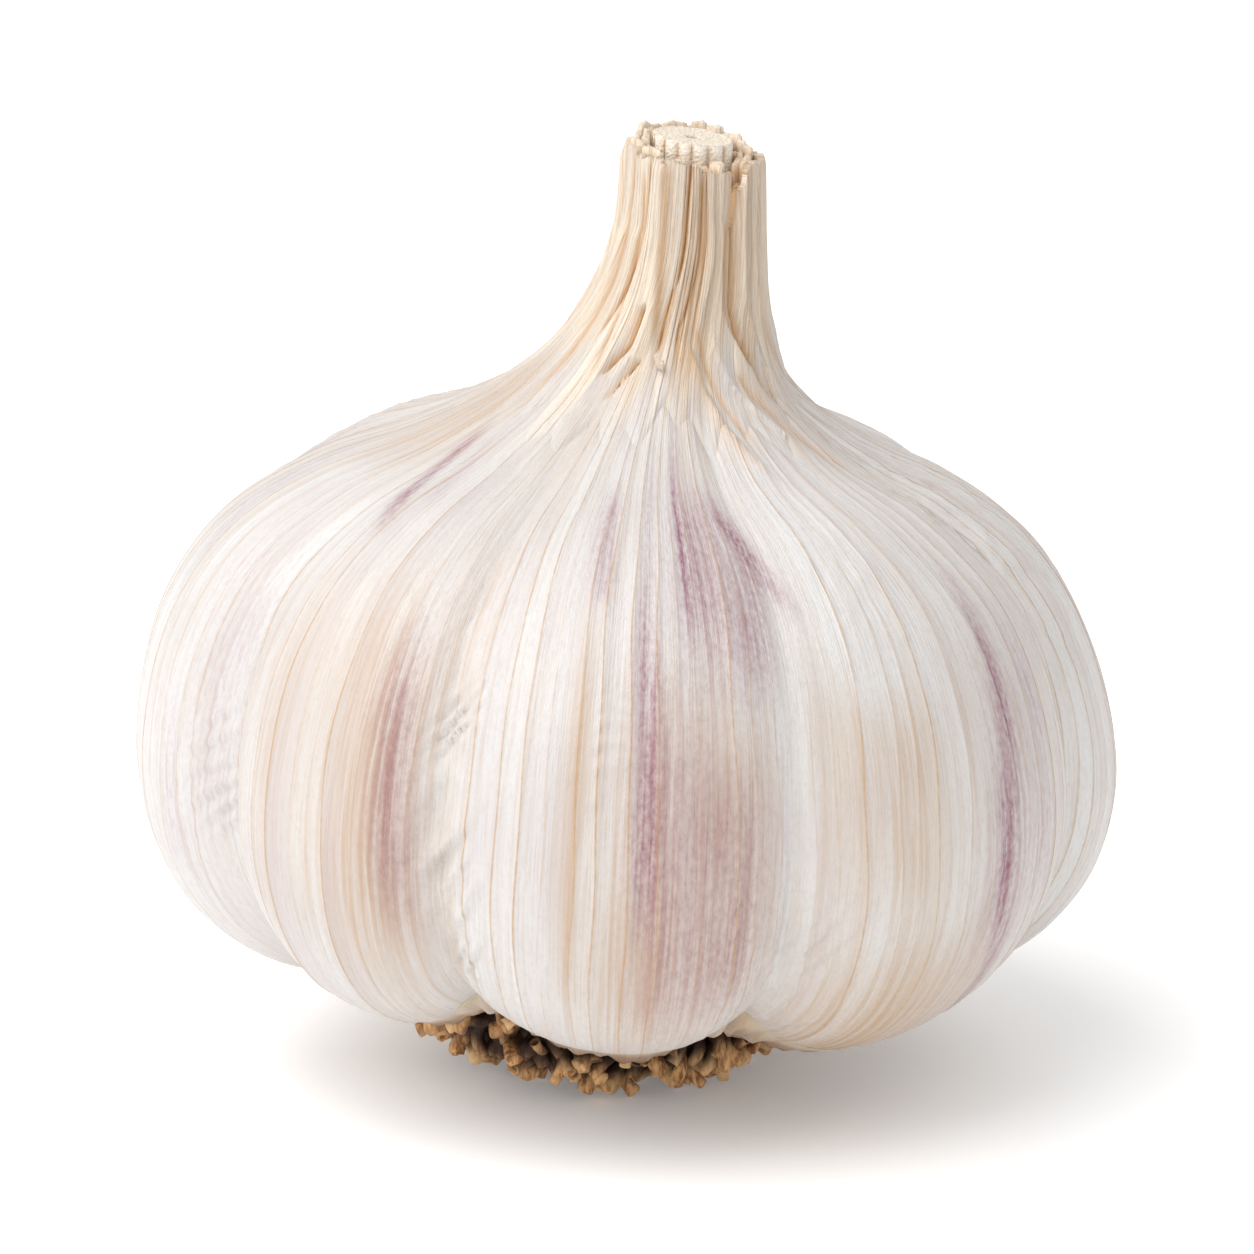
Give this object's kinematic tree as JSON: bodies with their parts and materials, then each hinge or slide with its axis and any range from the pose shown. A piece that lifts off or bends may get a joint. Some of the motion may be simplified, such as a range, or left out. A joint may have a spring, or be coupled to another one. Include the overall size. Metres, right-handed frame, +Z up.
{
  "type": "garlic bulb",
  "caption": "Whole hardneck garlic bulb: papery lobed body, cut ribbed neck with its stalk, and a crown of trimmed dry roots that it stands on.",
  "frame": {"origin": "middle of the flat spot at the foot of the root crown, on the surface that the bulb stands on", "axes": "+Z up from the resting surface, -Y out of the front, which is the side with the middle clove, and +X to the right of the front, where the neck leans"},
  "size_m": [0.0626, 0.0619, 0.0614],
  "materials": {
    "papery_skin": "satin, veined, with faint purple streaks",
    "dry_sheath": "dry, ribbed, matt",
    "inner_sheath": "dry, ribbed, matt",
    "stalk_pith": "cut fibre and pith, matt",
    "leaf_base": "thin, torn, dry",
    "dry_root": "dry, wrinkled, matt"
  },
  "bodies": {
    "root": {"bulb": "papery_skin", "neck_sheath": "dry_sheath", "inner_sheath": "inner_sheath", "stalk": "stalk_pith", "base_scales": "leaf_base", "root_crown": "dry_root"}
  },
  "joints": []
}
